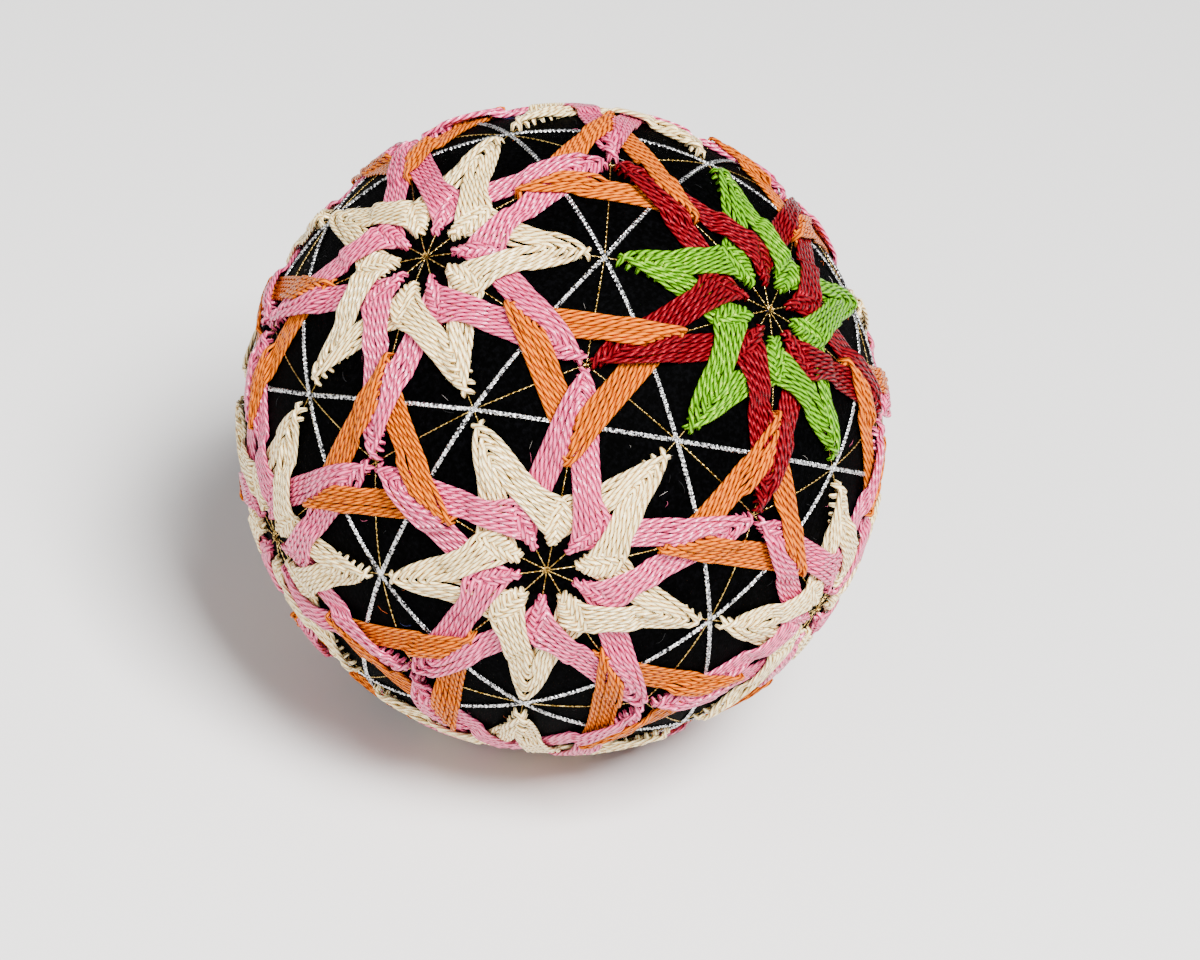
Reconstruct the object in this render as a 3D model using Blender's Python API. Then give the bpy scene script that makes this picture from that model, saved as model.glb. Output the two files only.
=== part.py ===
# Temari ball: a wound ball of black thread divided by silver marking threads into ten-part
# fields, with two woven five-pointed stars round each of its twelve hubs and a triangle
# round each of its twenty three-fold centres. Metres, +Z up, the floor at z = 0.

import math
from collections import namedtuple

import bmesh
import bpy
from mathutils import Vector

MM = 0.001

# Layers, from the ball's centre outwards
BALL_RADIUS = 49.2 * MM
SILVER_BOTTOM = 49.65 * MM
SILVER_TOP = 50.05 * MM
BAND_BOTTOM = 50.45 * MM
BAND_TOP = 50.95 * MM
OVER_RISE = 0.95 * MM          # how far a band climbs to pass over another
HIGHEST = BAND_TOP + OVER_RISE

# The flat spot, a three-fold centre pressed on the floor
FLAT_RADIUS = 11.5 * MM
REST_HEIGHT = math.sqrt(HIGHEST ** 2 - FLAT_RADIUS ** 2)

# Distances along the surface, on a sphere of this radius
SURFACE_RADIUS = 50.0 * MM
IDEAL_TWO_FOLD = 27.68 * MM    # from a hub to a two-fold point on an even ball
IDEAL_THREE_FOLD = 32.62 * MM  # from a hub to a three-fold centre
NEAR_HUBS = math.radians(85)   # neighbouring hubs stand about 63 degrees apart

SILVER_WIDTH = 0.85 * MM
SILVER_STEPS = 4               # straight stretches between two crossings
EDGE_INSET = 0.2 * MM          # a band's top is narrower than its foot by this on each side
OVER_MARGIN = 0.35 * MM        # a band stays up or down this far past the band that it crosses
RAMP = 2.0 * MM
LONGEST_STEP = 7.0 * MM
BALL_DIVISIONS = 4

# A star's or triangle's band: from its inner to its outer edge, at its notches and its tips
Band = namedtuple("Band", "notch_in notch_out tip_in tip_out")
LOWER_STAR = Band(4.0 * MM, 12.0 * MM, 16.0 * MM, 25.5 * MM)
UPPER_STAR = Band(4.0 * MM, 12.5 * MM, 25.6 * MM, 31.5 * MM)
TRIANGLE_IN = 8.6 * MM
TRIANGLE_OUT = 16.0 * MM

# The hubs stand in four rings round the upright three-fold axis
HIGH_RING = math.acos(math.sqrt((5 + 2 * math.sqrt(5)) / 15))
LOW_RING = math.acos(math.sqrt((5 - 2 * math.sqrt(5)) / 15))
RINGS = {1: HIGH_RING, 2: LOW_RING, 3: math.pi - LOW_RING, 4: math.pi - HIGH_RING}
FIRST_TURN = math.radians(33.45)
TURN_STEP = math.radians(60)

# Each hub's ring, its place round the ring in steps, its two colours, and how far the
# maker's pin stood east and south of the true place
Hub = namedtuple("Hub", "name ring step tips_on_silver tips_between east south")
HUBS = [
    Hub("A", 1, 3, "cream", "pink", 3.6 * MM, 0.8 * MM),
    Hub("B", 2, 4, "cream", "pink", -0.6 * MM, 0.3 * MM),
    Hub("C", 1, 5, "green", "red", -2.2 * MM, 1.2 * MM),
    Hub("D", 3, 5, "cream", "pink", -0.4 * MM, -1.1 * MM),
    Hub("E", 3, 3, "cream", "pink", 2.5 * MM, 0.4 * MM),
    Hub("F", 1, 1, "cream", "pink", 1.5 * MM, 0.5 * MM),
    Hub("G", 4, 4, "cream", "pink", 0.0, 0.0),
    Hub("H", 2, 2, "cream", "pink", 0.0, 0.2 * MM),
    Hub("I", 2, 0, "cream", "pink", 0.0, 0.0),
    Hub("J", 4, 0, "cream", "pink", 0.0, 0.0),
    Hub("K", 3, 1, "cream", "pink", 0.0, 0.0),
    Hub("L", 4, 2, "cream", "pink", 0.0, 0.0),
]

# Colour (linear), roughness and metallic value
Finish = namedtuple("Finish", "colour roughness metallic")
FINISHES = {
    "black": Finish((0.006, 0.006, 0.007), 0.9, 0.0),
    "silver": Finish((0.55, 0.56, 0.58), 0.35, 0.9),
    "cream": Finish((0.80, 0.70, 0.50), 0.6, 0.0),
    "pink": Finish((0.68, 0.26, 0.40), 0.6, 0.0),
    "green": Finish((0.12, 0.38, 0.02), 0.6, 0.0),
    "red": Finish((0.36, 0.01, 0.025), 0.6, 0.0),
    "orange": Finish((0.90, 0.20, 0.01), 0.6, 0.0),
}


def clear_scene():
    for obj in list(bpy.data.objects):
        bpy.data.objects.remove(obj, do_unlink=True)


def make_material(name, finish):
    material = bpy.data.materials.new(name)
    material.use_nodes = True
    shader = material.node_tree.nodes["Principled BSDF"]
    shader.inputs["Base Color"].default_value = (*finish.colour, 1.0)
    shader.inputs["Roughness"].default_value = finish.roughness
    shader.inputs["Metallic"].default_value = finish.metallic
    material.diffuse_color = (*finish.colour, 1.0)
    return material


# Directions and arcs on the sphere

def arc_point(start, end, share):
    """The direction at a share of the way along the arc between two directions."""
    angle = start.angle(end)
    mixed = start * math.sin((1 - share) * angle) + end * math.sin(share * angle)
    return mixed.normalized()


def stepped_from(start, target, distance):
    """The direction at a surface distance from one direction towards another."""
    side = (target - start * start.dot(target)).normalized()
    angle = distance / SURFACE_RADIUS
    return start * math.cos(angle) + side * math.sin(angle)


def surface_distance(start, end):
    return start.angle(end) * SURFACE_RADIUS


def clockwise_round(centre, items, direction_of):
    """Items sorted clockwise round a direction, as seen from outside the ball."""
    first = centre.orthogonal().normalized()
    second = centre.cross(first)

    def turn(item):
        direction = direction_of(item)
        return -math.atan2(direction.dot(second), direction.dot(first))

    return sorted(items, key=turn)


def place(direction, radius):
    """A point of the ball: a direction and a distance, pressed flat over the floor."""
    point = direction * radius
    flat_level = -math.sqrt(radius ** 2 - FLAT_RADIUS ** 2)
    return Vector((point.x, point.y, max(point.z, flat_level) + REST_HEIGHT))


def hub_direction(hub):
    polar = RINGS[hub.ring]
    turn = FIRST_TURN + hub.step * TURN_STEP
    true_place = Vector((math.sin(polar) * math.cos(turn), math.sin(polar) * math.sin(turn),
                         math.cos(polar)))
    east = Vector((-math.sin(turn), math.cos(turn), 0.0))
    south = east.cross(true_place)
    south = south if south.z < 0 else -south
    return (true_place + (east * hub.east + south * hub.south) / SURFACE_RADIUS).normalized()


# Arms: one side of a star's point, or one side of a triangle

class Arm:
    """A straight stretch of band between two corners, with the bands that it crosses."""

    def __init__(self, start_corner, end_corner):
        self.edges = [(start_corner[side], end_corner[side]) for side in (0, 1)]
        self.crossings = []

    def length(self, side):
        return surface_distance(*self.edges[side])

    def meets(self, side, other_edge):
        """The share of one of its edges at which it meets another arm's edge."""
        start, end = self.edges[side]
        normal = start.cross(end).normalized()
        point = normal.cross(other_edge[0].cross(other_edge[1])).normalized()
        if point.dot(start + end) < 0:
            point = -point
        turned = math.atan2(start.cross(point).dot(normal), start.dot(point))
        return turned / start.angle(end)

    def passages(self, side):
        """Rows of start share, end share and level, one for each band that an edge crosses."""
        margin = OVER_MARGIN / self.length(side)
        rows = []
        for other, level in self.crossings:
            first, last = sorted(self.meets(side, edge) for edge in other.edges)
            first = max(first - margin, first / 2)
            last = min(last + margin, (1 + last) / 2)
            rows.append((first, last, level))
        return sorted(rows)


def cross(arm, other, arm_is_over):
    arm.crossings.append((other, 1.0 if arm_is_over else 0.0))
    other.crossings.append((arm, 0.0 if arm_is_over else 1.0))


def corner_level(before, after, side):
    """The level at the corner between two arms, of which one goes over and one goes under."""
    last = before.passages(side)[-1]
    first = after.passages(side)[0]
    gap_before = (1 - last[1]) * before.length(side)
    gap_after = first[0] * after.length(side)
    over_gap = gap_before if last[2] > first[2] else gap_after
    return max(0.0, 1 - over_gap / min(RAMP, gap_before + gap_after))


def arm_stations(arm, start_levels, end_levels):
    """Stations along an arm, each a pair of share and level for its two edges."""
    stations = [[(0.0, start_levels[0]), (0.0, start_levels[1])]]
    for inner, outer in zip(arm.passages(0), arm.passages(1)):
        for end in (0, 1):
            stations.append([(inner[end], inner[2]), (outer[end], outer[2])])
    stations.append([(1.0, end_levels[0]), (1.0, end_levels[1])])
    filled = []
    for first, last in zip(stations, stations[1:]):
        filled.append(first)
        stretch = (last[1][0] - first[1][0]) * arm.length(1)
        pieces = math.ceil(stretch / LONGEST_STEP)
        for number in range(1, pieces):
            share = number / pieces
            between = []
            for side in (0, 1):
                level = first[side][1] if first[side][1] == last[side][1] else 0.0
                shift = last[side][0] - first[side][0]
                between.append((first[side][0] + share * shift, level))
            filled.append(between)
    return filled


def band_sections(arms):
    """The closed ring of four-cornered sections of a star or a triangle."""
    sections = []
    count = len(arms)
    levels = [[corner_level(arms[i - 1], arms[i], side) for side in (0, 1)] for i in range(count)]
    for i, arm in enumerate(arms):
        for inner, outer in arm_stations(arm, levels[i], levels[(i + 1) % count]):
            inner_way = arc_point(*arm.edges[0], inner[0])
            outer_way = arc_point(*arm.edges[1], outer[0])
            inset = EDGE_INSET / surface_distance(inner_way, outer_way)
            inner_rise = OVER_RISE * inner[1]
            outer_rise = OVER_RISE * outer[1]
            sections.append([
                place(inner_way, BAND_BOTTOM + inner_rise),
                place(arc_point(inner_way, outer_way, inset), BAND_TOP + inner_rise),
                place(arc_point(inner_way, outer_way, 1 - inset), BAND_TOP + outer_rise),
                place(outer_way, BAND_BOTTOM + outer_rise),
            ])
    return sections


# Objects

def add_object(name, mesh, material, collection):
    obj = bpy.data.objects.new(name, mesh)
    obj.data.materials.append(material)
    collection.objects.link(obj)
    return obj


def loft_ring(name, sections, material, collection):
    """A closed ring lofted through its sections."""
    shape = bmesh.new()
    rows = [[shape.verts.new(point) for point in section] for section in sections]
    corners = len(sections[0])
    for row, next_row in zip(rows, rows[1:] + rows[:1]):
        for k in range(corners):
            m = (k + 1) % corners
            shape.faces.new((row[k], next_row[k], next_row[m], row[m]))
    bmesh.ops.triangulate(shape, faces=shape.faces[:])
    bmesh.ops.recalc_face_normals(shape, faces=shape.faces[:])
    mesh = bpy.data.meshes.new(name)
    shape.to_mesh(mesh)
    shape.free()
    return add_object(name, mesh, material, collection)


def make_ball(material, collection):
    """The wound ball, a sphere with its flat spot."""
    shape = bmesh.new()
    bmesh.ops.create_icosphere(shape, subdivisions=BALL_DIVISIONS, radius=1.0)
    for vertex in shape.verts:
        vertex.co = place(vertex.co.normalized(), BALL_RADIUS)
    mesh = bpy.data.meshes.new("ball")
    shape.to_mesh(mesh)
    shape.free()
    mesh.shade_smooth()
    return add_object("ball", mesh, material, collection)


def make_silver_net(ways, hub_names, neighbours, material, collection):
    """Six marking threads round the ball, caught where they cross at the two-fold points."""
    shape = bmesh.new()
    half = SILVER_WIDTH / 2

    def point_between(one, two):
        return (ways[one] + ways[two]).normalized()

    # A thread joins the middles of two sides of each triangle of hubs.
    points = {}
    links = {}
    for one in hub_names:
        for two in neighbours[one]:
            key = frozenset((one, two))
            points[key] = point_between(one, two)
            for three in neighbours[one]:
                if three in neighbours[two]:
                    for far in (frozenset((one, three)), frozenset((two, three))):
                        links.setdefault(key, set()).add(far)

    # Each crossing is a small four-sided plate whose corners lie between its threads.
    corner_verts = {}
    for key, centre in points.items():
        around = clockwise_round(centre, list(links[key]), lambda far: point_between(*far))
        for number, far in enumerate(around):
            following = around[(number + 1) % len(around)]
            side_a = (points[far] - centre * centre.dot(points[far])).normalized()
            side_b = (points[following] - centre * centre.dot(points[following])).normalized()
            reach = half / math.sin(side_a.angle(side_b) / 2)
            way = stepped_from(centre, (centre + side_a + side_b).normalized(), reach)
            low = shape.verts.new(place(way, SILVER_BOTTOM))
            high = shape.verts.new(place(way, SILVER_TOP))
            corner_verts[key, far, following] = (low, high)
        ring = [corner_verts[key, around[i], around[(i + 1) % 4]] for i in range(4)]
        shape.faces.new([pair[1] for pair in ring])
        shape.faces.new([pair[0] for pair in reversed(ring)])
        for i, far in enumerate(around):
            corner_verts[key, "side", far] = (ring[i - 1], ring[i])

    # Each stretch runs from one plate's side to the next plate's side.
    done = set()
    for key in points:
        for far in links[key]:
            link = frozenset((key, far))
            if link in done:
                continue
            done.add(link)
            start, end = points[key], points[far]
            across = start.cross(end).normalized()
            rows = []
            for number in range(1, SILVER_STEPS):
                middle = arc_point(start, end, number / SILVER_STEPS)
                row = []
                for sign in (1, -1):
                    way = stepped_from(middle, (middle + across * sign).normalized(), half)
                    low = shape.verts.new(place(way, SILVER_BOTTOM))
                    high = shape.verts.new(place(way, SILVER_TOP))
                    row.append((low, high))
                rows.append(row)

            def ordered(pairs):
                offset = pairs[0][0].co - pairs[1][0].co
                return list(pairs) if offset.dot(across) > 0 else list(reversed(pairs))

            rows.insert(0, ordered(corner_verts[key, "side", far]))
            rows.append(ordered(corner_verts[far, "side", key]))
            for row, next_row in zip(rows, rows[1:]):
                section = [row[0][0], row[0][1], row[1][1], row[1][0]]
                following = [next_row[0][0], next_row[0][1], next_row[1][1], next_row[1][0]]
                for k in range(4):
                    m = (k + 1) % 4
                    shape.faces.new((section[k], following[k], following[m], section[m]))

    bmesh.ops.triangulate(shape, faces=shape.faces[:])
    bmesh.ops.recalc_face_normals(shape, faces=shape.faces[:])
    mesh = bpy.data.meshes.new("silver_threads")
    shape.to_mesh(mesh)
    shape.free()
    return add_object("silver_threads", mesh, material, collection)


def main():
    clear_scene()
    collection = bpy.data.collections.new("temari_ball")
    bpy.context.scene.collection.children.link(collection)
    materials = {name: make_material(f"{name}_thread", finish) for name, finish in FINISHES.items()}

    ways = {hub.name: hub_direction(hub) for hub in HUBS}
    neighbours = {}
    for hub in HUBS:
        near = [o.name for o in HUBS if o is not hub and ways[hub.name].angle(ways[o.name]) < NEAR_HUBS]
        neighbours[hub.name] = clockwise_round(ways[hub.name], near, lambda name: ways[name])

    make_ball(materials["black"], collection)
    make_silver_net(ways, list(ways), neighbours, materials["silver"], collection)

    # Each star's arms run clockwise. A "left" arm lies left of a three-fold centre's spoke
    # as seen from the hub, and a "right" arm lies right of it.
    lower_arms = {}
    upper_arms = {}
    centres = {}
    for hub in HUBS:
        way = ways[hub.name]
        near = neighbours[hub.name]
        for i in range(len(near)):
            one, two, three = near[i], near[(i + 1) % 5], near[(i + 2) % 5]
            key = frozenset((hub.name, one, two))
            next_key = frozenset((hub.name, two, three))
            centres[key] = (way + ways[one] + ways[two]).normalized()
            next_centre = (way + ways[two] + ways[three]).normalized()
            on_one = (way + ways[one]).normalized()
            on_two = (way + ways[two]).normalized()

            def corner(target, distances, ideal=None):
                """The inner and outer point of a band on the spoke towards a target."""
                scale = surface_distance(way, target) / ideal if ideal else 1.0
                return [stepped_from(way, target, distance * scale) for distance in distances]

            centre = centres[key]
            lower_notch = corner(centre, (LOWER_STAR.notch_in, LOWER_STAR.notch_out))
            upper_tip = corner(centre, (UPPER_STAR.tip_in, UPPER_STAR.tip_out), IDEAL_THREE_FOLD)
            lower_tips = [corner(t, (LOWER_STAR.tip_in, LOWER_STAR.tip_out), IDEAL_TWO_FOLD)
                          for t in (on_one, on_two)]
            upper_notches = [corner(t, (UPPER_STAR.notch_in, UPPER_STAR.notch_out))
                             for t in (on_one, on_two)]
            lower_arms[hub.name, key, "left"] = Arm(lower_tips[0], lower_notch)
            lower_arms[hub.name, key, "right"] = Arm(lower_notch, lower_tips[1])
            upper_arms[hub.name, key, "left"] = Arm(upper_notches[0], upper_tip)
            upper_arms[hub.name, key, "right"] = Arm(upper_tip, upper_notches[1])

    # In a left sector the lower star's arm is over the upper star's, in a right one under it.
    for place_key, arm in lower_arms.items():
        cross(arm, upper_arms[place_key], arm_is_over=place_key[2] == "left")

    # A triangle's side starts under one hub's left arm and ends over the next hub's right arm.
    triangles = {}
    for key, centre in centres.items():
        names = clockwise_round(centre, sorted(key), lambda name: ways[name])
        corners = []
        for name in names:
            scale = surface_distance(centre, ways[name]) / IDEAL_THREE_FOLD
            corners.append([stepped_from(centre, ways[name], distance * scale)
                            for distance in (TRIANGLE_IN, TRIANGLE_OUT)])
        sides = []
        for i in range(3):
            side = Arm(corners[i], corners[(i + 1) % 3])
            cross(side, upper_arms[names[i], key, "left"], arm_is_over=False)
            cross(side, upper_arms[names[(i + 1) % 3], key, "right"], arm_is_over=True)
            sides.append(side)
        triangles["".join(sorted(key))] = sides

    for hub in HUBS:
        for colour, arms in ((hub.tips_on_silver, lower_arms), (hub.tips_between, upper_arms)):
            ring = []
            near = neighbours[hub.name]
            for i in range(len(near)):
                key = frozenset((hub.name, near[i], near[(i + 1) % 5]))
                ring += [arms[hub.name, key, "left"], arms[hub.name, key, "right"]]
            loft_ring(f"{colour}_star_{hub.name}", band_sections(ring), materials[colour], collection)
    for name, sides in sorted(triangles.items()):
        loft_ring(f"orange_triangle_{name}", band_sections(sides), materials["orange"], collection)


main()
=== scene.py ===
# Temari ball: black wound thread, gold and silver marking threads, and woven stars and
# triangles of two-ply pearl cotton, each row of it a thread of its own.
import math

import bmesh
import bpy
import numpy as np
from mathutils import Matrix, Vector


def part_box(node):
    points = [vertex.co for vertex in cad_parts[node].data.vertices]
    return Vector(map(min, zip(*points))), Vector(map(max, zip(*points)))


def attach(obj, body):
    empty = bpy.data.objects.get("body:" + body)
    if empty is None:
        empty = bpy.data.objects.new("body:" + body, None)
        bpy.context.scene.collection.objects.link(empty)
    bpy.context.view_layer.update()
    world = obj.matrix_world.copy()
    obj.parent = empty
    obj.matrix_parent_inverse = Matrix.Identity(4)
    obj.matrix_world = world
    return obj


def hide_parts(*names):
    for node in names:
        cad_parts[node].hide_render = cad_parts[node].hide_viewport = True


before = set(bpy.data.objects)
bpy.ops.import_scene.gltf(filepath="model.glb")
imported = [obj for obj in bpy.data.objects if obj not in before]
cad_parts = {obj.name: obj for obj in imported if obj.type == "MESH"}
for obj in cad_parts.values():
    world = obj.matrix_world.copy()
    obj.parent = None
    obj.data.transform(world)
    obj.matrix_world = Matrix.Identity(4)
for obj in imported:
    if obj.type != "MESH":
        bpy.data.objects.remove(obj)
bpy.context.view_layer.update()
mm = 0.001

ball = {
    "packed": 49.2 * mm,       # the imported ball's radius, under the wound thread's last layer
    "surface": 50.0 * mm,      # the black thread's outside
    "flatDepth": 0.9 * mm,     # how far above the floor the black surface is pressed flat
    "divisions": 6,            # of the icosphere it starts from
}

# Where the ball stands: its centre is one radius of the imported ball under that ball's top.
ballLow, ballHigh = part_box("ball")
centre = np.array([0.0, 0.0, ballHigh[2] - ball["packed"]])
print("ball centre", centre)

camera = {
    "focal": 94.47,            # mm on a 36 mm wide sensor
    "elevation": 35.19,        # degrees above the horizon
    "roll": 11.07,             # degrees
    "distance": 500.0 * mm,
    "ballRight": -5.96 * mm,   # where the ball's centre lies in the camera's view
    "ballUp": 7.98 * mm,
}


def unit(vectors):
    vectors = np.asarray(vectors, float)
    return vectors / np.linalg.norm(vectors, axis=-1, keepdims=True)


def linearColour(hexText):
    channels = [int(hexText[i:i + 2], 16) / 255 for i in (1, 3, 5)]
    linear = [c / 12.92 if c <= 0.04045 else ((c + 0.055) / 1.055) ** 2.4 for c in channels]
    return (*linear, 1.0)


# Camera

def makeCamera():
    elevation = math.radians(camera["elevation"])
    roll = math.radians(camera["roll"])
    level = Vector((1, 0, 0))
    upright = Vector((0, math.sin(elevation), math.cos(elevation)))
    back = Vector((0, -math.cos(elevation), math.sin(elevation)))
    right = level * math.cos(roll) + upright * math.sin(roll)
    up = upright * math.cos(roll) - level * math.sin(roll)
    data = bpy.data.cameras.new("camera")
    data.sensor_width = 36
    data.lens = camera["focal"]
    data.clip_start = 0.01
    shot = bpy.data.objects.new("camera", data)
    bpy.context.scene.collection.objects.link(shot)
    aim = Vector(centre) - right * camera["ballRight"] - up * camera["ballUp"]
    spot = aim + back * camera["distance"]
    for row in range(3):
        shot.matrix_world[row][0] = right[row]
        shot.matrix_world[row][1] = up[row]
        shot.matrix_world[row][2] = back[row]
        shot.matrix_world[row][3] = spot[row]
    bpy.context.scene.camera = shot


makeCamera()

# Pattern: twelve hubs in four rings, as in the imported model

highRing = math.acos(math.sqrt((5 + 2 * math.sqrt(5)) / 15))
lowRing = math.acos(math.sqrt((5 - 2 * math.sqrt(5)) / 15))
rings = {1: highRing, 2: lowRing, 3: math.pi - lowRing, 4: math.pi - highRing}
firstTurn = math.radians(33.45)
ringStep = math.radians(60)
neighbourReach = math.radians(85)    # hubs next to each other stand about 63 degrees apart

# name: ring, step round it, colour with tips on silver, colour with tips between, and the
# pin's drift east and south in mm
hubTable = {
    "A": (1, 3, "cream", "pink", 3.6, 0.8),
    "B": (2, 4, "cream", "pink", -0.6, 0.3),
    "C": (1, 5, "green", "red", -2.2, 1.2),
    "D": (3, 5, "cream", "pink", -0.4, -1.1),
    "E": (3, 3, "cream", "pink", 2.5, 0.4),
    "F": (1, 1, "cream", "pink", 1.5, 0.5),
    "G": (4, 4, "cream", "pink", 0.0, 0.0),
    "H": (2, 2, "cream", "pink", 0.0, 0.2),
    "I": (2, 0, "cream", "pink", 0.0, 0.0),
    "J": (4, 0, "cream", "pink", 0.0, 0.0),
    "K": (3, 1, "cream", "pink", 0.0, 0.0),
    "L": (4, 2, "cream", "pink", 0.0, 0.0),
}

# Distances in mm. Along a spoke they run from the star's hub, or from the triangle's middle.
# "cross" is where a row's two arms cross on the spoke, "stitch" is where the needle goes
# in, and "reach" is how far beside the spoke that is: first row, last row. "out" is that
# reach for the threads that leave, where it differs: their ends stand out as teeth. "bend" is
# how far from the corner its rows have spread to lie side by side.
stars = {
    "rows": 6,
    "pitch": 0.69,             # from row to row where the band runs straight
    "pitchWobble": 0.03,
    "lower": {
        "notch": {"cross": (5.1, 11.3), "stitch": (4.4, 8.3), "reach": (0.7, 2.5), "bend": 5.0},
        "tip": {"cross": (16.8, 24.6), "stitch": (17.6, 25.5), "reach": (0.9, 0.7), "bend": 5.5,
                "out": (2.6, 1.0)},
    },
    "upper": {
        "notch": {"cross": (4.8, 11.9), "stitch": (4.0, 9.4), "reach": (0.4, 1.8), "bend": 5.0},
        "tip": {"cross": (25.4, 31.0), "stitch": (26.2, 31.8), "reach": (0.8, 0.6), "bend": 9.5,
                "out": (1.3, 0.9)},
    },
    "triangle": {"cross": (8.8, 15.3), "stitch": (9.2, 16.0), "reach": (0.1, 0.5), "bend": 4.0,
                 "out": (1.2, 0.9)},
    "twoFold": 27.68,          # from a hub to the silver crossing, where no pin has drifted
    "threeFold": 32.62,        # from a hub to the middle of a triangle, likewise
    "cornerWobble": 0.3,
    "crossWobble": 0.08,
    "loose": {"notch": 0.10, "tip": 0.22},     # how unevenly the stitches go in
    "seed": 11,
    "rowSeeds": {"lower": 100, "upper": 200, "triangle": 300},
}

cotton = {
    "halfWidth": 0.385 * mm,
    "halfHeight": 0.33 * mm,
    "sides": 6,
    "step": 1.0 * mm,
    "fineStep": 0.42 * mm,     # close to the corners, where a row bends
    "fineReach": 3.4 * mm,
    "lift": 0.38 * mm,         # a thread's middle above the black surface
    "bandHalf": 2.1 * mm,
    "starRise": 0.90 * mm,     # a star's band over the other star's, close to its plait
    "overRise": 0.78 * mm,     # a triangle's band over a star's
    "underRise": 0.98 * mm,    # a star's band over a triangle's, close to the triangle's corner
    "tipRise": 1.15 * mm,      # a triangle's last rows over both arms of a star's tip
    "overRamp": 1.5 * mm,
    "overMargin": 0.45 * mm,
    "overEnd": 2.5 * mm,       # how far past its corners a band still lifts what crosses it
    "overEndRamp": 1.0 * mm,
    "crossRise": 0.52 * mm,    # one thread over the other in a plait
    "crossRamp": 0.5 * mm,
    "tipSteep": 1.6,           # a thread climbs this much faster at a tip than at a notch
    "toothNear": 8.0 * mm,     # a thread lies over the teeth only this close to its crossing
    "toothLead": 0.6,          # in ramps: how far before the first tooth it starts to climb
    "arriveEnd": 0.1,          # in ramps past a tip's spoke: an arriving thread is down again
    "leaveStart": 0.5,         # in ramps before it: a leaving thread starts to climb
    "leaveEnd": 2.5,           # in ramps past it: the leaving thread is down again
    "packWidth": 0.72 * mm,
    "packRise": 0.40 * mm,
    "packStep": 0.05 * mm,
    "packReach": 1.25,         # how far the layers reach, in lengths of the corner's bend
    "heightWobble": 0.015 * mm,
    "dive": 0.45 * mm,         # the length in which an end goes down into the ball
    "diveDepth": 0.25 * mm,
    "plaitSwell": 0.16,        # how much fuller a thread is where nothing presses it flat
    "plaitFull": {"notch": 1.0, "tip": 0.5},
    "plaitReach": 5.0 * mm,    # along the thread
    "plaitEdge": 2.6 * mm,     # beside the spoke
    "plaitFade": 1.6 * mm,
    "endTaper": 0.5 * mm,
    "endWidth": 0.6,           # of the full width, at the very end
    "plyTurn": 3.2,            # mm for one turn of a ply
}


def hubWay(name):
    ring, step, _, _, east, south = hubTable[name]
    polar = rings[ring]
    turn = firstTurn + step * ringStep
    ahead = np.array([math.cos(turn), math.sin(turn), 0.0])
    eastWay = np.array([-math.sin(turn), math.cos(turn), 0.0])
    upWay = np.array([0.0, 0.0, 1.0])
    way = ahead * math.sin(polar) + upWay * math.cos(polar)
    southWay = ahead * math.cos(polar) - upWay * math.sin(polar)
    return unit(way + (eastWay * east + southWay * south) * mm / ball["surface"])


hubs = {name: hubWay(name) for name in hubTable}


def angleBetween(a, b):
    return math.atan2(np.linalg.norm(np.cross(a, b)), float(np.dot(a, b)))


def surfaceLength(a, b):
    return angleBetween(a, b) * ball["surface"]


def towards(start, target, distance):
    side = unit(target - start * np.dot(start, target))
    turn = distance / ball["surface"]
    return start * math.cos(turn) + side * math.sin(turn)


def arcPoints(start, end, shares):
    turn = angleBetween(start, end)
    shares = np.asarray(shares)[:, None]
    return (np.sin((1 - shares) * turn) * start + np.sin(shares * turn) * end) / math.sin(turn)


def clockwiseRound(way, names, ways):
    first = unit(np.cross(way, [0.3, 0.5, 0.8]))    # any direction across the way will do
    second = np.cross(way, first)
    return sorted(names, key=lambda n: -math.atan2(np.dot(ways[n], second), np.dot(ways[n], first)))


neighbours = {}
for name, way in hubs.items():
    near = [n for n in hubs if n != name and angleBetween(way, hubs[n]) < neighbourReach]
    neighbours[name] = clockwiseRound(way, near, hubs)


# A corner: where the rows of two arms cross on a spoke. Each arm runs clockwise, so it ends
# in a stitch to the right of the spoke, and the next arm starts to the left of it.

def makeCorner(kind, way, target, spec, ideal, random):
    scale = surfaceLength(way, target) / (ideal * mm) if ideal else 1.0
    drift = random.uniform(-1, 1) * stars["cornerWobble"]
    wobble, loose = stars["crossWobble"], stars["loose"][kind]
    right = unit(np.cross(target, way))
    corner = {"kind": kind, "right": right, "bend": spec["bend"] * mm, "cross": [], "into": [], "out": []}
    for row in range(stars["rows"]):
        share = row / (stars["rows"] - 1)
        cross, stitch = (np.interp(share, (0, 1), spec[key]) for key in ("cross", "stitch"))
        cross += drift + random.uniform(-wobble, wobble)
        stitch += drift + random.uniform(-loose, loose)
        corner["cross"].append(towards(way, target, cross * scale * mm))
        foot = towards(way, target, (cross * scale + stitch - cross) * mm)
        for side, key in ((1, "into"), (-1, "out")):
            reach = np.interp(share, (0, 1), spec.get(key, spec["reach"]))
            reach += random.uniform(-loose, loose)
            corner[key].append(unit(foot + right * reach * side * mm / ball["surface"]))
    corner["teeth"] = spec.get("out", spec["reach"])[0] * mm
    middle = (spec["cross"][0] + spec["cross"][1]) / 2 + drift
    corner["middle"] = towards(way, target, middle * scale * mm)
    return corner


def makeArm(start, end):
    normal = unit(np.cross(start["middle"], end["middle"]))
    return {"start": start, "end": end, "normal": normal, "crossings": [],
            "length": surfaceLength(start["middle"], end["middle"])}


def crossOver(top, below, rise):
    top["crossings"].append((below, rise))


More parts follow.
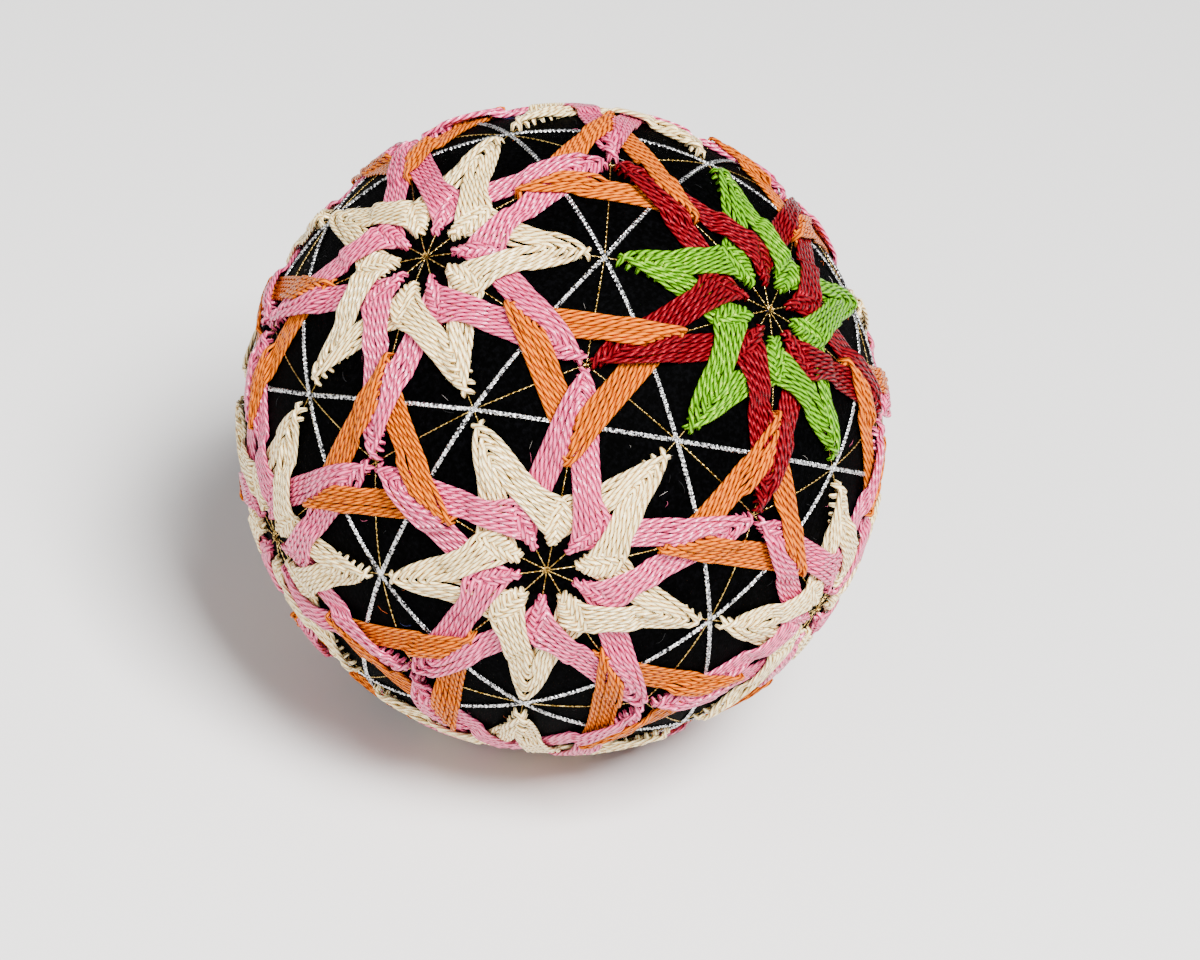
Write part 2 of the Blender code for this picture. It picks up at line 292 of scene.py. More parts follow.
def makeArms():
    random = np.random.default_rng(stars["seed"])
    lower, upper, centres = {}, {}, {}
    for name, way in hubs.items():
        near = neighbours[name]
        rounds = {"lower": [], "upper": []}
        for i in range(5):
            following = (i + 1) % 5
            twoFold = unit(way + hubs[near[i]])
            threeFold = unit(way + hubs[near[i]] + hubs[near[following]])
            # Only a tip's distances stretch with the spoke, because a notch keeps close to its hub
            for star, onTwo, onThree in (("lower", "tip", "notch"), ("upper", "notch", "tip")):
                for kind, target, ideal in ((onTwo, twoFold, "twoFold"), (onThree, threeFold, "threeFold")):
                    length = stars[ideal] if kind == "tip" else None
                    corner = makeCorner(kind, way, target, stars[star][kind], length, random)
                    rounds[star].append(corner)
        for i in range(5):
            key = frozenset((name, near[i], near[(i + 1) % 5]))
            centres[key] = unit(way + hubs[near[i]] + hubs[near[(i + 1) % 5]])
            for star, arms in (("lower", lower), ("upper", upper)):
                ring = rounds[star]
                arms[name, key, "left"] = makeArm(ring[2 * i], ring[2 * i + 1])
                arms[name, key, "right"] = makeArm(ring[2 * i + 1], ring[(2 * i + 2) % 10])
    for spot, arm in lower.items():
        if spot[2] == "left":
            crossOver(arm, upper[spot], cotton["starRise"])
        else:
            crossOver(upper[spot], arm, cotton["starRise"])
    triangles = {}
    for key, way in centres.items():
        names = clockwiseRound(way, sorted(key), hubs)
        corners = [makeCorner("tip", way, hubs[n], stars["triangle"], stars["threeFold"], random)
                   for n in names]
        sides = []
        for i in range(3):
            following = (i + 1) % 3
            side = makeArm(corners[i], corners[following])
            crossOver(upper[names[i], key, "left"], side, cotton["underRise"])
            crossOver(side, upper[names[following], key, "right"], cotton["overRise"])
            crossOver(side, upper[names[following], key, "left"], cotton["tipRise"])
            sides.append(side)
        triangles["".join(sorted(key))] = sides
    return lower, upper, triangles


lowerArms, upperArms, triangleSides = makeArms()
print("arms", len(lowerArms), len(upperArms), 3 * len(triangleSides))


# A row is drawn on a flat map of the ball round the middle of its arm

def makeChart(start, end):
    middle = unit(start + end)
    ahead = unit(end - middle * np.dot(end, middle))
    return middle, ahead, np.cross(middle, ahead)


def onMap(way, chart):
    middle, ahead, side = chart
    flat = way - middle * np.dot(way, middle)
    flat = unit(flat) * angleBetween(middle, way) * ball["surface"]
    return np.array([np.dot(flat, ahead), np.dot(flat, side)])


def onBall(points, chart):
    middle, ahead, side = chart
    turns = np.maximum(np.linalg.norm(points, axis=1) / ball["surface"], 1e-9)
    flat = (points[:, :1] * ahead + points[:, 1:] * side) / ball["surface"]
    return unit(middle + flat * (np.tan(turns) / turns)[:, None])


def smoothCurve(knots, places):
    # A curve through the knots, at these distances along their polyline.
    knots = np.array(knots)
    gaps = np.linalg.norm(np.diff(knots, axis=0), axis=1)
    marks = np.concatenate([[0], np.cumsum(gaps)])
    slopes = np.diff(knots, axis=0) / gaps[:, None]
    inner = (slopes[1:] * gaps[:-1, None] + slopes[:-1] * gaps[1:, None]) / (gaps[1:] + gaps[:-1])[:, None]
    tangents = np.concatenate([slopes[:1], inner, slopes[-1:]])
    which = np.clip(np.searchsorted(marks, places, side="right") - 1, 0, len(gaps) - 1)
    gap = gaps[which][:, None]
    t = ((places - marks[which]) / gaps[which])[:, None]
    return ((2 * t ** 3 - 3 * t ** 2 + 1) * knots[which] + (t ** 3 - 2 * t ** 2 + t) * gap * tangents[which]
            + (3 * t ** 2 - 2 * t ** 3) * knots[which + 1] + (t ** 3 - t ** 2) * gap * tangents[which + 1])


def rowPlaces(length):
    # Close together near both ends, further apart between.
    fine = cotton["fineReach"]
    ends = np.arange(0, fine, cotton["fineStep"])
    middle = np.linspace(fine, length - fine, max(2, int(round((length - 2 * fine) / cotton["step"])) + 1))
    return np.concatenate([ends, middle, (length - ends)[::-1]])


def smooth(values):
    values = np.clip(values, 0, 1)
    return values * values * (3 - 2 * values)


def besideSpoke(path, corner):
    return np.arcsin(np.clip(path @ corner["right"], -1, 1)) * ball["surface"]


def fromCrossing(path, corner, row):
    return np.linalg.norm(path - corner["cross"][row], axis=1) * ball["surface"]


def cornerRise(path, corner, row, arriving):
    # Which of two crossing threads lies on top: at a notch an arriving thread rises as it
    # passes the spoke and a leaving one starts high, and at a tip it is the other way round.
    # The first row to arrive has nothing to cross.
    ramp, steep = cotton["crossRamp"], cotton["tipSteep"]
    beside = besideSpoke(path, corner) / ramp
    if corner["kind"] == "notch":
        share = smooth(beside) * (row > 0) if arriving else 1 - smooth(beside)
    elif arriving:
        near = fromCrossing(path, corner, row) < cotton["toothNear"]
        overTeeth = smooth(beside + corner["teeth"] / ramp + cotton["toothLead"])
        share = overTeeth * smooth((cotton["arriveEnd"] - beside) * steep) * near * (row > 0)
    else:
        share = smooth((beside + cotton["leaveStart"]) * steep) * smooth(cotton["leaveEnd"] - beside)
    return share * cotton["crossRise"]


def crowdRise(path, arm, corner, row):
    # Rows packed closer than a thread's width lie in layers.
    lines = [c @ arm["normal"] for c in (corner["cross"][0], corner["cross"][-1])]
    spacing = abs(lines[1] - lines[0]) * ball["surface"] / (stars["rows"] - 1)
    if spacing >= cotton["packWidth"]:
        return np.zeros(len(path))
    crowding = math.sqrt(1 - (spacing / cotton["packWidth"]) ** 2)
    share = smooth(cotton["packReach"] - fromCrossing(path, corner, row) / corner["bend"]) * crowding
    return share * (cotton["packRise"] * (row % 2) + cotton["packStep"] * row)


def crossingRise(path, arm):
    rise = np.zeros(len(path))
    reach = cotton["bandHalf"] + cotton["overMargin"] + cotton["overRamp"]
    end, endRamp = cotton["overEnd"], cotton["overEndRamp"]
    for other, height in arm["crossings"]:
        start = other["start"]["middle"]
        beside = np.arcsin(np.clip(path @ other["normal"], -1, 1)) * ball["surface"]
        along = np.arctan2(path @ np.cross(other["normal"], start), path @ start) * ball["surface"]
        share = smooth((reach - np.abs(beside)) / cotton["overRamp"])
        share *= smooth((along + end) / endRamp) * smooth((other["length"] + end - along) / endRamp)
        rise = np.maximum(rise, share * height)
    return rise


def threadPath(arm, row, random):
    start, end = arm["start"], arm["end"]
    chart = makeChart(start["middle"], end["middle"])
    first, last = onMap(start["middle"], chart), onMap(end["middle"], chart)
    ahead = (last - first) / np.linalg.norm(last - first)
    side = np.array([-ahead[1], ahead[0]])
    crossings = [[onMap(way, chart) for way in corner["cross"]] for corner in (start, end)]
    outward = sum((line[-1] - line[0]) @ side for line in crossings)
    side = side if outward > 0 else -side
    fromMiddle = row - (stars["rows"] - 1) / 2
    offset = side * (fromMiddle * stars["pitch"] + random.normal(0, stars["pitchWobble"])) * mm
    knots = [onMap(start["out"][row], chart), crossings[0][row],
             first + ahead * start["bend"] + offset,
             (first + last) / 2 + ahead * (start["bend"] - end["bend"]) / 2 + offset,
             last - ahead * end["bend"] + offset,
             crossings[1][row], onMap(end["into"][row], chart)]
    length = float(np.sum(np.linalg.norm(np.diff(knots, axis=0), axis=1)))
    path = onBall(smoothCurve(knots, rowPlaces(length)), chart)
    rise = crossingRise(path, arm)
    for corner, arriving in ((start, False), (end, True)):
        rise = np.maximum(rise, cornerRise(path, corner, row, arriving))
    swell = np.zeros(len(path))
    for corner in (start, end):
        rise = rise + crowdRise(path, arm, corner, row)
        near = fromCrossing(path, corner, row) < cotton["plaitReach"]
        inside = cotton["plaitEdge"] - np.abs(besideSpoke(path, corner))
        full = cotton["plaitFull"][corner["kind"]]
        swell = np.maximum(swell, near * full * smooth(inside / cotton["plaitFade"]))
    heights = ball["surface"] + cotton["lift"] + rise + random.normal(0, cotton["heightWobble"])
    gaps = np.linalg.norm(np.diff(path, axis=0), axis=1) * ball["surface"]
    along = np.concatenate([[0], np.cumsum(gaps)])
    # Both ends dive into the ball
    bottom = ball["surface"] - cotton["diveDepth"]
    heights = bottom + (heights - bottom) * smooth(np.minimum(along, along[-1] - along) / cotton["dive"])
    return path * heights[:, None], along, 1 + swell * cotton["plaitSwell"]


def pressed(points, clearance):
    # What would reach below the floor is pushed up to lie on it.
    placed = points + centre
    placed[:, 2] = np.maximum(placed[:, 2], clearance)
    return placed


def tube(points, normals, halfWidth, halfHeight, sides, along):
    tangents = unit(np.gradient(points, axis=0))
    across = unit(np.cross(tangents, normals))
    upward = np.cross(across, tangents)
    turns = np.arange(sides) * 2 * math.pi / sides
    widths = np.broadcast_to(halfWidth, len(points))[:, None, None]
    heights = np.broadcast_to(halfHeight, len(points))[:, None, None]
    ring = (across[:, None, :] * np.cos(turns)[None, :, None] * widths
            + upward[:, None, :] * np.sin(turns)[None, :, None] * heights)
    rows = points[:, None, :] + ring
    count = len(points)
    base = np.arange(count - 1)[:, None] * sides + np.arange(sides)[None, :]
    following = np.arange(count - 1)[:, None] * sides + (np.arange(sides)[None, :] + 1) % sides
    quads = np.stack([base, following, following + sides, base + sides], axis=-1).reshape(-1, 4)
    uStart = np.broadcast_to(along[:-1, None], (count - 1, sides)).ravel()
    uEnd = np.broadcast_to(along[1:, None], (count - 1, sides)).ravel()
    vStart = np.broadcast_to(np.arange(sides)[None, :] / sides, (count - 1, sides)).ravel()
    vEnd = vStart + 1 / sides
    uvs = np.stack([np.stack([uStart, vStart], -1), np.stack([uStart, vEnd], -1),
                    np.stack([uEnd, vEnd], -1), np.stack([uEnd, vStart], -1)], axis=1)
    tips = np.array([points[0], points[-1]])
    last = (count - 1) * sides
    ringIds = np.arange(sides)
    capA = np.stack([np.full(sides, count * sides), (ringIds + 1) % sides, ringIds], -1)
    capB = np.stack([np.full(sides, count * sides + 1), last + ringIds, last + (ringIds + 1) % sides], -1)
    capUv = np.zeros((2 * sides, 3, 2))
    capUv[:sides, :, 0] = along[0]
    capUv[sides:, :, 0] = along[-1]
    vertices = np.concatenate([rows.reshape(-1, 3), tips])
    return vertices, quads, np.concatenate([capA, capB]), uvs, capUv


def joinTubes(tubes, tints=None):
    tints = tints or [0.5] * len(tubes)
    vertices, quads, caps, uvs, capUvs, shades = [], [], [], [], [], []
    offset = 0
    for (points, faces, ends, faceUv, endUv), tint in zip(tubes, tints):
        vertices.append(points)
        quads.append(faces + offset)
        caps.append(ends + offset)
        uvs.append(faceUv)
        capUvs.append(endUv)
        shades.append(np.full(len(points), tint))
        offset += len(points)
    return [np.concatenate(group) for group in (vertices, quads, caps, uvs, capUvs, shades)]


def meshObject(name, joined, material):
    vertices, quads, caps, uvs, capUvs, shades = joined
    mesh = bpy.data.meshes.new(name)
    mesh.vertices.add(len(vertices))
    mesh.vertices.foreach_set("co", vertices.astype(np.float32).ravel())
    corners = np.concatenate([quads.ravel(), caps.ravel()]).astype(np.int32)
    totals = np.concatenate([np.full(len(quads), 4), np.full(len(caps), 3)]).astype(np.int32)
    starts = np.concatenate([[0], np.cumsum(totals)[:-1]]).astype(np.int32)
    mesh.loops.add(len(corners))
    mesh.loops.foreach_set("vertex_index", corners)
    mesh.polygons.add(len(totals))
    mesh.polygons.foreach_set("loop_start", starts)
    mesh.polygons.foreach_set("use_smooth", np.ones(len(totals), dtype=bool))
    layer = mesh.uv_layers.new(name="thread")
    flat = np.concatenate([uvs.reshape(-1, 2), capUvs.reshape(-1, 2)])
    layer.data.foreach_set("uv", flat.astype(np.float32).ravel())
    shade = mesh.attributes.new("shade", "FLOAT", "POINT")
    shade.data.foreach_set("value", shades.astype(np.float32))
    mesh.update(calc_edges=True)
    mesh.validate()
    mesh.materials.append(material)
    obj = bpy.data.objects.new(name, mesh)
    bpy.context.scene.collection.objects.link(obj)
    return obj


def threadBand(arms, seed):
    random = np.random.default_rng(seed)
    tubes, tints = [], []
    for arm in arms:
        for row in range(stars["rows"]):
            points, along, swell = threadPath(arm, row, random)
            ends = np.clip(np.minimum(along, along[-1] - along) / cotton["endTaper"], 0, 1)
            swell = swell * (cotton["endWidth"] + (1 - cotton["endWidth"]) * np.sqrt(ends))
            placed = pressed(points, cotton["halfHeight"])
            widths, heights = cotton["halfWidth"] * swell, cotton["halfHeight"] * swell
            turned = along / mm + random.uniform(0, cotton["plyTurn"])
            tubes.append(tube(placed, unit(points), widths, heights, cotton["sides"], turned))
            tints.append(random.uniform(0, 1))
    return joinTubes(tubes, tints)


# Materials

def addNode(tree, kind, settings=None, links=None, stops=()):
    node = tree.nodes.new(kind)
    for key, value in (settings or {}).items():
        if isinstance(key, str) and hasattr(node, key):
            setattr(node, key, value)
        else:
            node.inputs[key].default_value = value
    for key, source in (links or {}).items():
        tree.links.new(source, node.inputs[key])
    for number, (place, colour) in enumerate(stops):
        # A new colour ramp has two stops already
        elements = node.color_ramp.elements
        stop = elements[number] if number < 2 else elements.new(place)
        stop.position = place
        stop.color = linearColour(colour)
    return node


def newMaterial(name):
    material = bpy.data.materials.new(name)
    material.use_nodes = True
    tree = material.node_tree
    return material, tree, tree.nodes["Principled BSDF"]


# Mercerised pearl cotton, two plies turned hard together: a silky sheen from the specular, broken into
# slanting lights by the bumped plies and helped by a painted highlight on each ply's crest, with painted
# shade in the grooves where the plies meet.
# Per colour: painted crest highlight, body, painted groove shade, specular tint and specular level
cottonColours = {
    "cream": {"paintedCrestLight": "#FFF2BC", "body": "#FFD688", "paintedGrooveShade": "#B27C36", "glint": "#FFFFFF", "gloss": 0.8},
    "pink": {"paintedCrestLight": "#F06892", "body": "#D43468", "paintedGrooveShade": "#8A1640", "glint": "#FFF0F8", "gloss": 0.9},
    "green": {"paintedCrestLight": "#6CAC00", "body": "#3A7600", "paintedGrooveShade": "#123800", "glint": "#E4FF50", "gloss": 0.5},
    "red": {"paintedCrestLight": "#780412", "body": "#50000A", "paintedGrooveShade": "#1E0000", "glint": "#FF4A60", "gloss": 0.35},
    "orange": {"paintedCrestLight": "#DA7200", "body": "#BA4E00", "paintedGrooveShade": "#701E00", "glint": "#FFC020", "gloss": 0.12},
}


def pearlCotton(name, look):
    material, tree, shader = newMaterial(f"mercerised {name} pearl cotton")
    uv = addNode(tree, "ShaderNodeUVMap", {"uv_map": "thread"})
    parts = addNode(tree, "ShaderNodeSeparateXYZ", links={0: uv.outputs["UV"]})
    # The crests slant as gently as the plies' own middles do, which takes two turns of the pattern
    twice = addNode(tree, "ShaderNodeMath", {"operation": "MULTIPLY", 1: 2.0}, {0: parts.outputs["Y"]})
    turned = addNode(tree, "ShaderNodeMath", {"operation": "MULTIPLY_ADD", 1: -1 / cotton["plyTurn"]},
                     {0: parts.outputs["X"], 2: twice.outputs[0]})
    phase = addNode(tree, "ShaderNodeMath", {"operation": "MULTIPLY", 1: 2 * math.pi}, {0: turned.outputs[0]})
    wave = addNode(tree, "ShaderNodeMath", {"operation": "SINE"}, {0: phase.outputs[0]})
    plies = addNode(tree, "ShaderNodeMath", {"operation": "ABSOLUTE"}, {0: wave.outputs[0]})
    place = addNode(tree, "ShaderNodeTexCoord")
    # Fibres a few hundredths of a millimetre thick, drawn 0.19 mm wide so that they show
    fibres = addNode(tree, "ShaderNodeTexNoise", {"Scale": 5200.0, "Detail": 3.0, "Roughness": 0.6},
                     {"Vector": place.outputs["Object"]})
    height = addNode(tree, "ShaderNodeMath", {"operation": "MULTIPLY_ADD", 1: 0.22},
                     {0: fibres.outputs["Fac"], 2: plies.outputs[0]})
    # The same wave as the bump paints the colour: a painted highlight on each ply's crest and painted shade
    # in the grooves between the plies
    ramp = addNode(tree, "ShaderNodeValToRGB", links={"Fac": plies.outputs[0]},
                   stops=((0.08, look["paintedGrooveShade"]), (0.55, look["body"]), (0.95, look["paintedCrestLight"])))
    # Dye that took unevenly: each thread has a shade of its own, with patches about 4 mm wide
    patches = addNode(tree, "ShaderNodeTexNoise", {"Scale": 260.0, "Detail": 2.0},
                      {"Vector": place.outputs["Object"]})
    shade = addNode(tree, "ShaderNodeAttribute", {"attribute_name": "shade"})
    uneven = addNode(tree, "ShaderNodeMath", {"operation": "MULTIPLY_ADD", 1: 0.5},
                     {0: patches.outputs["Fac"], 2: shade.outputs["Fac"]})
    spread = addNode(tree, "ShaderNodeMapRange",
                     {"From Min": 0.0, "From Max": 1.5, "To Min": 0.84, "To Max": 1.10},
                     {"Value": uneven.outputs[0]})
    tinted = addNode(tree, "ShaderNodeHueSaturation",
                     links={"Color": ramp.outputs["Color"], "Value": spread.outputs["Result"]})
    relief = addNode(tree, "ShaderNodeBump", {"Strength": 1.0, "Distance": 0.16 * mm},
                     {"Height": height.outputs[0]})
    tree.links.new(tinted.outputs["Color"], shader.inputs["Base Color"])
    tree.links.new(relief.outputs["Normal"], shader.inputs["Normal"])
    shader.inputs["Roughness"].default_value = 0.30
    shader.inputs["IOR"].default_value = 1.53
    shader.inputs["Specular IOR Level"].default_value = look["gloss"]
    shader.inputs["Specular Tint"].default_value = linearColour(look["glint"])
    return material


# Black sewing thread wound in every direction: matt, with only the fine ridges of the turns
def woundThread():
    material, tree, shader = newMaterial("wound black thread")
    place = addNode(tree, "ShaderNodeTexCoord")
    heights = []
    # Three layers of turns, each wound its own way, 0.35 mm from thread to thread
    for turn in ((0.3, 0.2, 0.9), (1.2, 0.7, 0.1), (0.4, 1.4, 1.9)):
        spun = addNode(tree, "ShaderNodeMapping", {"Rotation": turn}, {"Vector": place.outputs["Object"]})
        wave = addNode(tree, "ShaderNodeTexWave", {"Scale": 900.0, "Distortion": 1.5, "Detail": 1.0,
                                                   "Detail Scale": 0.6}, {"Vector": spun.outputs[0]})
        heights.append(wave.outputs["Fac"])
    first = addNode(tree, "ShaderNodeMath", {"operation": "MAXIMUM"}, {0: heights[0], 1: heights[1]})
    both = addNode(tree, "ShaderNodeMath", {"operation": "MAXIMUM"}, {0: first.outputs[0], 1: heights[2]})
    relief = addNode(tree, "ShaderNodeBump", {"Strength": 0.5, "Distance": 0.08 * mm},
                     {"Height": both.outputs[0]})
    # Fuzz, in tufts about 0.7 mm wide
    fuzz = addNode(tree, "ShaderNodeTexNoise", {"Scale": 1500.0, "Detail": 2.0},
                   {"Vector": place.outputs["Object"]})
    ramp = addNode(tree, "ShaderNodeValToRGB", links={"Fac": fuzz.outputs["Fac"]},
                   stops=((0.45, "#000000"), (0.8, "#040405")))
    tree.links.new(ramp.outputs["Color"], shader.inputs["Base Color"])
    tree.links.new(relief.outputs["Normal"], shader.inputs["Normal"])
    shader.inputs["Roughness"].default_value = 0.7
    shader.inputs["Specular IOR Level"].default_value = 0.01
    return material


# Lame thread, a bright foil wound round a core: metal that glints turn by turn. "turn" is the
# length in mm of one turn of the foil.
foils = {
    "silver": {"core": "#202024", "foil": "#FFFFFF", "turn": 0.8, "roughness": 0.36},
    "gold": {"core": "#7C5A1C", "foil": "#F6D078", "turn": 0.9, "roughness": 0.34},
}


def lameThread(name, look):
    material, tree, shader = newMaterial(f"{name} lame thread")
    uv = addNode(tree, "ShaderNodeUVMap", {"uv_map": "thread"})
    parts = addNode(tree, "ShaderNodeSeparateXYZ", links={0: uv.outputs["UV"]})
    turned = addNode(tree, "ShaderNodeMath", {"operation": "MULTIPLY_ADD", 1: 1 / look["turn"]},
                     {0: parts.outputs["X"], 2: parts.outputs["Y"]})
    phase = addNode(tree, "ShaderNodeMath", {"operation": "MULTIPLY", 1: 2 * math.pi}, {0: turned.outputs[0]})
    wave = addNode(tree, "ShaderNodeMath", {"operation": "SINE"}, {0: phase.outputs[0]})
    relief = addNode(tree, "ShaderNodeBump", {"Strength": 1.0, "Distance": 0.08 * mm},
                     {"Height": wave.outputs[0]})
    place = addNode(tree, "ShaderNodeTexCoord")
    # Dark spots under half a millimetre wide, where the foil's edges let the core show
    worn = addNode(tree, "ShaderNodeTexNoise", {"Scale": 2300.0, "Detail": 2.0},
                   {"Vector": place.outputs["Object"]})
    ramp = addNode(tree, "ShaderNodeValToRGB", links={"Fac": worn.outputs["Fac"]},
                   stops=((0.40, look["core"]), (0.56, look["foil"])))
    tree.links.new(ramp.outputs["Color"], shader.inputs["Base Color"])
    tree.links.new(relief.outputs["Normal"], shader.inputs["Normal"])
    shader.inputs["Metallic"].default_value = 1.0
    shader.inputs["Roughness"].default_value = look["roughness"]
    return material


# Loose fibres, matt: mostly the ball's own black, some grey with dust, a few from the cotton
def looseFibre():
    material, tree, shader = newMaterial("loose cotton fibre")
    shade = addNode(tree, "ShaderNodeAttribute", {"attribute_name": "shade"})
    ramp = addNode(tree, "ShaderNodeValToRGB", links={"Fac": shade.outputs["Fac"]},
                   stops=((0.0, "#141416"), (0.55, "#8C8680"), (0.72, "#D8D0C8"), (0.82, "#C8587A"),
                          (0.90, "#D05A10"), (0.95, "#1C2260")))
    ramp.color_ramp.interpolation = "CONSTANT"
    tree.links.new(ramp.outputs["Color"], shader.inputs["Base Color"])
    shader.inputs["Roughness"].default_value = 0.7
    return material


cottonMaterials = {name: pearlCotton(name, look) for name, look in cottonColours.items()}
blackMaterial = woundThread()
lintMaterial = looseFibre()
silverMaterial, goldMaterial = (lameThread(name, look) for name, look in foils.items())
print("materials made")


def dress(piece, nodes):
    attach(piece, "root")
    if nodes:
        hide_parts(*nodes)


# The wound ball

def makeBall():
    shape = bmesh.new()
    bmesh.ops.create_icosphere(shape, subdivisions=ball["divisions"], radius=ball["surface"])
    mesh = bpy.data.meshes.new("wound ball")
    shape.to_mesh(mesh)
    shape.free()
    points = np.array([v.co[:] for v in mesh.vertices])
    placed = pressed(points, ball["flatDepth"])
    mesh.vertices.foreach_set("co", placed.astype(np.float32).ravel())
    mesh.update()
    mesh.shade_smooth()
    mesh.materials.append(blackMaterial)
    obj = bpy.data.objects.new("wound_ball", mesh)
    bpy.context.scene.collection.objects.link(obj)
    dress(obj, ["ball"])


makeBall()
print("wound ball made")

# Marking threads

silver = {
    "strand": 0.165 * mm,      # half of one strand of the braid
    "sway": 0.24 * mm,
    "bob": 0.11 * mm,
    "braidTurn": 2.2 * mm,
    "step": 0.45 * mm,
    "lift": 0.22 * mm,
    "sides": 5,
}
gold = {
    "half": 0.085 * mm,
    "lift": 0.09 * mm,
    "step": 1.6 * mm,
    "sides": 5,
    "knot": 0.44 * mm,         # the widest loop's radius
    "loops": 5,
    "loopPoints": 14,
    "loopSize": (0.45, 1.0),   # of the widest loop: smallest, largest
    "loopSlim": (0.4, 1.0),    # how wide a loop is for its length
    "loopShift": 0.16 * mm,    # how far the loops stray from the hub
    "loopLean": 0.3 * mm,
    "loopLift": 0.22 * mm,     # the lowest loop above the black surface
    "loopStep": 0.07 * mm,     # from loop to loop
    "seed": 5,
}


def throughPoints(stops, step):
    path = []
    for start, end in zip(stops, stops[1:] + stops[:1]):
        count = max(2, int(round(surfaceLength(start, end) / step)))
        path += list(arcPoints(start, end, np.arange(count) / count))
    return np.array(path)


def closedTube(points, normals, half, sides):
    points = np.concatenate([points, points[:1]])
    normals = np.concatenate([normals, normals[:1]])
    gaps = np.linalg.norm(np.diff(points, axis=0), axis=1)
    along = np.concatenate([[0], np.cumsum(gaps)]) / mm
    return tube(pressed(points, half), normals, half, half, sides, along)


def silverTurns():
    # From a two-fold point a silver thread runs on to the middle of the next side of the
    # triangle of hubs, on across the ball and back.
    middles, links = {}, {}
    for a in hubs:
        for b in neighbours[a]:
            side = frozenset((a, b))
            middles[side] = unit(hubs[a] + hubs[b])
            nextSides = {frozenset((a, c)) for c in neighbours[a] if c in neighbours[b]}
            links[side] = links.get(side, set()) | nextSides
    links = {side: sorted(ends, key=sorted) for side, ends in links.items()}
    turns, used = [], set()
    for first in sorted(links, key=sorted):
        for following in links[first]:
            if (first, following) in used:
                continue
            turn, here, ahead = [first], first, following
            while ahead != first:
                used.update(((here, ahead), (ahead, here)))
                way = unit(middles[ahead] - middles[here])
                options = [n for n in links[ahead] if n != here]
                straight = max(options, key=lambda n: float(np.dot(unit(middles[n] - middles[ahead]), way)))
                turn.append(ahead)
                here, ahead = ahead, straight
            used.update(((here, ahead), (ahead, here)))
            turns.append([middles[n] for n in turn])
    return turns


def makeSilver():
    tubes = []
    for stops in silverTurns():
        path = throughPoints(stops, silver["step"])
        gaps = np.linalg.norm(np.diff(np.concatenate([path, path[:1]]), axis=0), axis=1)
        length = float(np.sum(gaps)) * ball["surface"]
        along = np.concatenate([[0], np.cumsum(gaps)])[:-1] * ball["surface"]
        tangents = unit(np.roll(path, -1, axis=0) - np.roll(path, 1, axis=0))
        side = unit(np.cross(tangents, path))
        phase = along / length * round(length / silver["braidTurn"]) * 2 * math.pi
        for strand in range(3):
            angle = phase + strand * 2 * math.pi / 3
            lateral = np.sin(angle) * silver["sway"]
            height = ball["surface"] + silver["lift"] + np.sin(2 * angle) * silver["bob"]
            points = path * height[:, None] + side * lateral[:, None]
            tubes.append(closedTube(points, path, silver["strand"], silver["sides"]))
    piece = meshObject("silver_braid", joinTubes(tubes), silverMaterial)
    dress(piece, ["silver_threads"])
    print("silver turns", len(tubes) // 3)


def goldLine(start, end):
    length = surfaceLength(start, end)
    count = max(4, int(length / gold["step"]))
    points = arcPoints(start, end, np.linspace(0, 1, count)) * (ball["surface"] + gold["lift"])
    along = np.linspace(0, length / mm, count)
    half = gold["half"]
    return tube(pressed(points, half), unit(points), half, half, gold["sides"], along)


def goldKnot(way, random):
    # A few loose loops, each pulled to one side of the hub
    first = unit(np.cross(way, [0.2, 0.9, 0.4]))    # any direction across the way will do
    second = np.cross(way, first)
    turns = np.linspace(0, 2 * math.pi, gold["loopPoints"] + 1)[:-1]
    loops = []
    for loop in range(gold["loops"]):
        lean = random.uniform(-1.0, 1.0, 2)
        size = gold["knot"] * random.uniform(*gold["loopSize"])
        slim = random.uniform(*gold["loopSlim"])
        shift = first * random.normal(0, gold["loopShift"]) + second * random.normal(0, gold["loopShift"])
        ring = (np.outer(np.cos(turns), first) + np.outer(np.sin(turns), second) * slim) * size + shift
        tilt = (np.cos(turns) * lean[0] + np.sin(turns) * lean[1]) * gold["loopLean"]
        lift = ball["surface"] + gold["loopLift"] + loop * gold["loopStep"]
        points = way * lift + ring + np.outer(tilt, way)
        loops.append(closedTube(points, np.broadcast_to(way, points.shape), gold["half"], gold["sides"]))
    return loops


def makeGold():
    # Gold threads run from hub to hub, and through every three-fold centre.
    tubes = []
    for a in sorted(hubs):
        for b in neighbours[a]:
            if b < a:
                continue
            tubes.append(goldLine(hubs[a], hubs[b]))
            for c in neighbours[a]:
                if c in neighbours[b]:
                    threeFold = unit(hubs[a] + hubs[b] + hubs[c])
                    tubes.append(goldLine(unit(hubs[a] + hubs[b]), threeFold))
    for a in sorted(hubs):
        for b in neighbours[a]:
            for c in neighbours[a]:
                if b < c and c in neighbours[b]:
                    tubes.append(goldLine(hubs[a], unit(hubs[a] + hubs[b] + hubs[c])))
    random = np.random.default_rng(gold["seed"])
    for name in sorted(hubs):
        tubes += goldKnot(hubs[name], random)
    piece = meshObject("gold_thread", joinTubes(tubes), goldMaterial)
    dress(piece, [])


makeSilver()
makeGold()
print("marking threads made")

# Lint: short loose fibres that cling to the black thread

lint = {
    "count": 620,
    "half": 0.020 * mm,
    "shortest": 0.4 * mm,
    "longest": 1.9 * mm,
    "bend": 0.6,
    "lift": 0.05 * mm,
    "arch": 0.25 * mm,
    "sides": 3,
    "knots": 5,
    "seed": 21,
}


